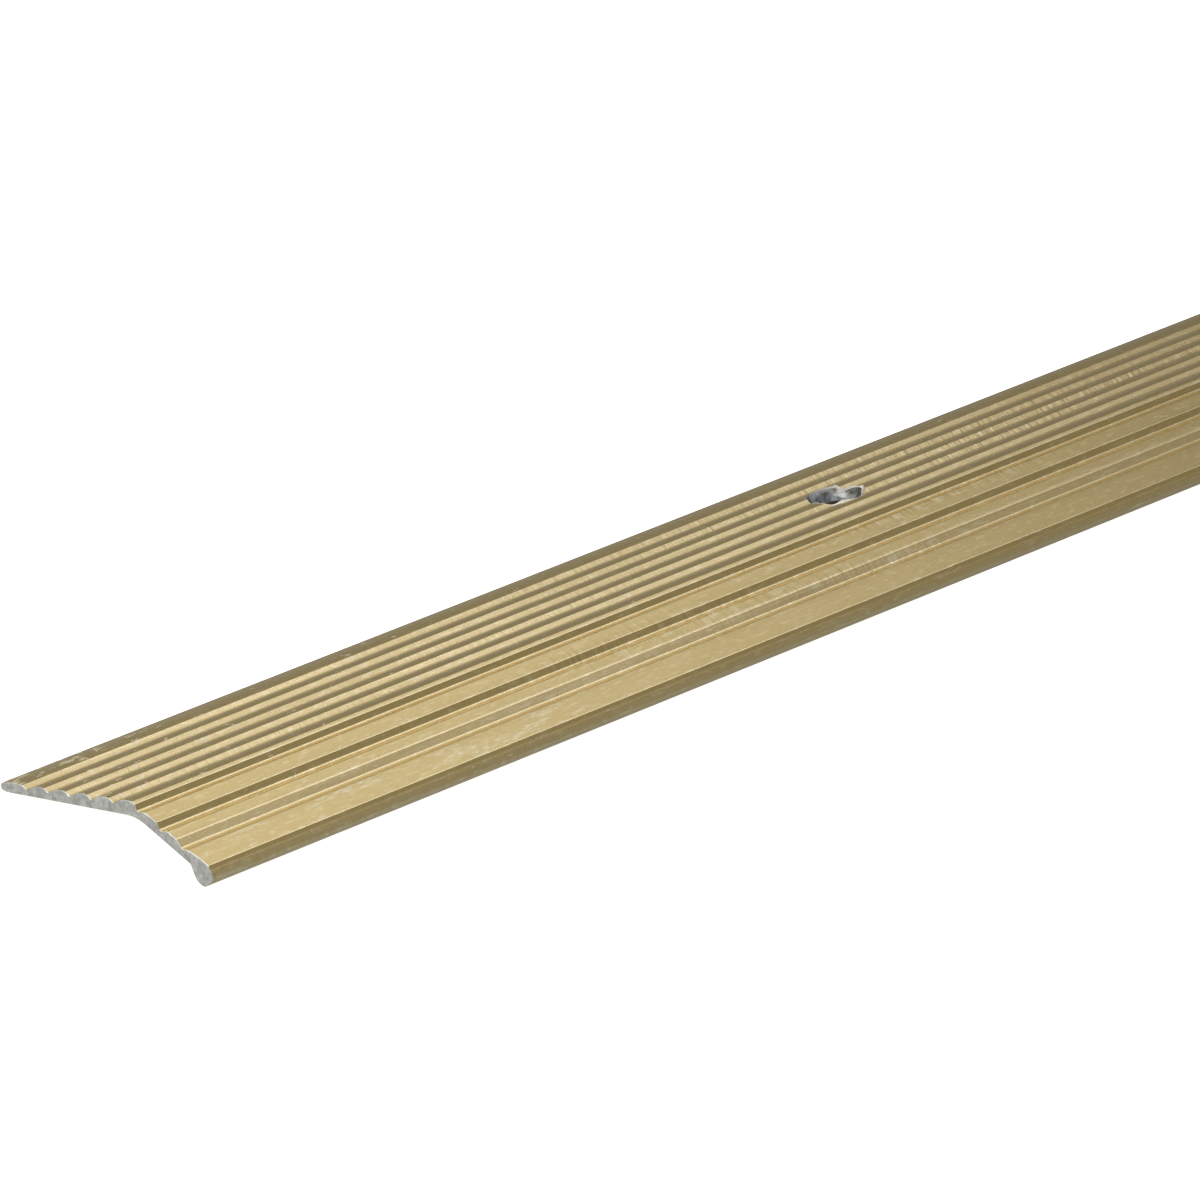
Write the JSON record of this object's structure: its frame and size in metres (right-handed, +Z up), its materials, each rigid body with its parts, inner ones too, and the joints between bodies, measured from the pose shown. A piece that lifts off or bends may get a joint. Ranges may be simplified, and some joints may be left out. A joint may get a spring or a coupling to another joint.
{
  "type": "threshold strip",
  "caption": "Fluted aluminium threshold strip with a low ridge, a beaded front lip and countersunk holes on one line, with its loose wood screws.",
  "frame": {"origin": "on the floor, under the middle of the strip's width and length", "axes": "+X along the strip, -Y towards the beaded front lip, +Z up"},
  "size_m": [0.9144, 0.0454, 0.0066],
  "materials": {
    "anodised_aluminium": "satin gold anodised, sawn ends and drilled holes bare",
    "plated_screw": "satin brass plated"
  },
  "bodies": {
    "strip": {"strip": "anodised_aluminium"},
    "screw_1": {"screw_1": "plated_screw"},
    "screw_2": {"screw_2": "plated_screw"},
    "screw_3": {"screw_3": "plated_screw"},
    "screw_4": {"screw_4": "plated_screw"}
  },
  "joints": [
    {"name": "screw_1_lift", "type": "slide", "parent": "strip", "child": "screw_1", "axis": [0, 0, 1], "range_m": [0, 0.04]},
    {"name": "screw_2_lift", "type": "slide", "parent": "strip", "child": "screw_2", "axis": [0, 0, 1], "range_m": [0, 0.04]},
    {"name": "screw_3_lift", "type": "slide", "parent": "strip", "child": "screw_3", "axis": [0, 0, 1], "range_m": [0, 0.04]},
    {"name": "screw_4_lift", "type": "slide", "parent": "strip", "child": "screw_4", "axis": [0, 0, 1], "range_m": [0, 0.04]}
  ]
}
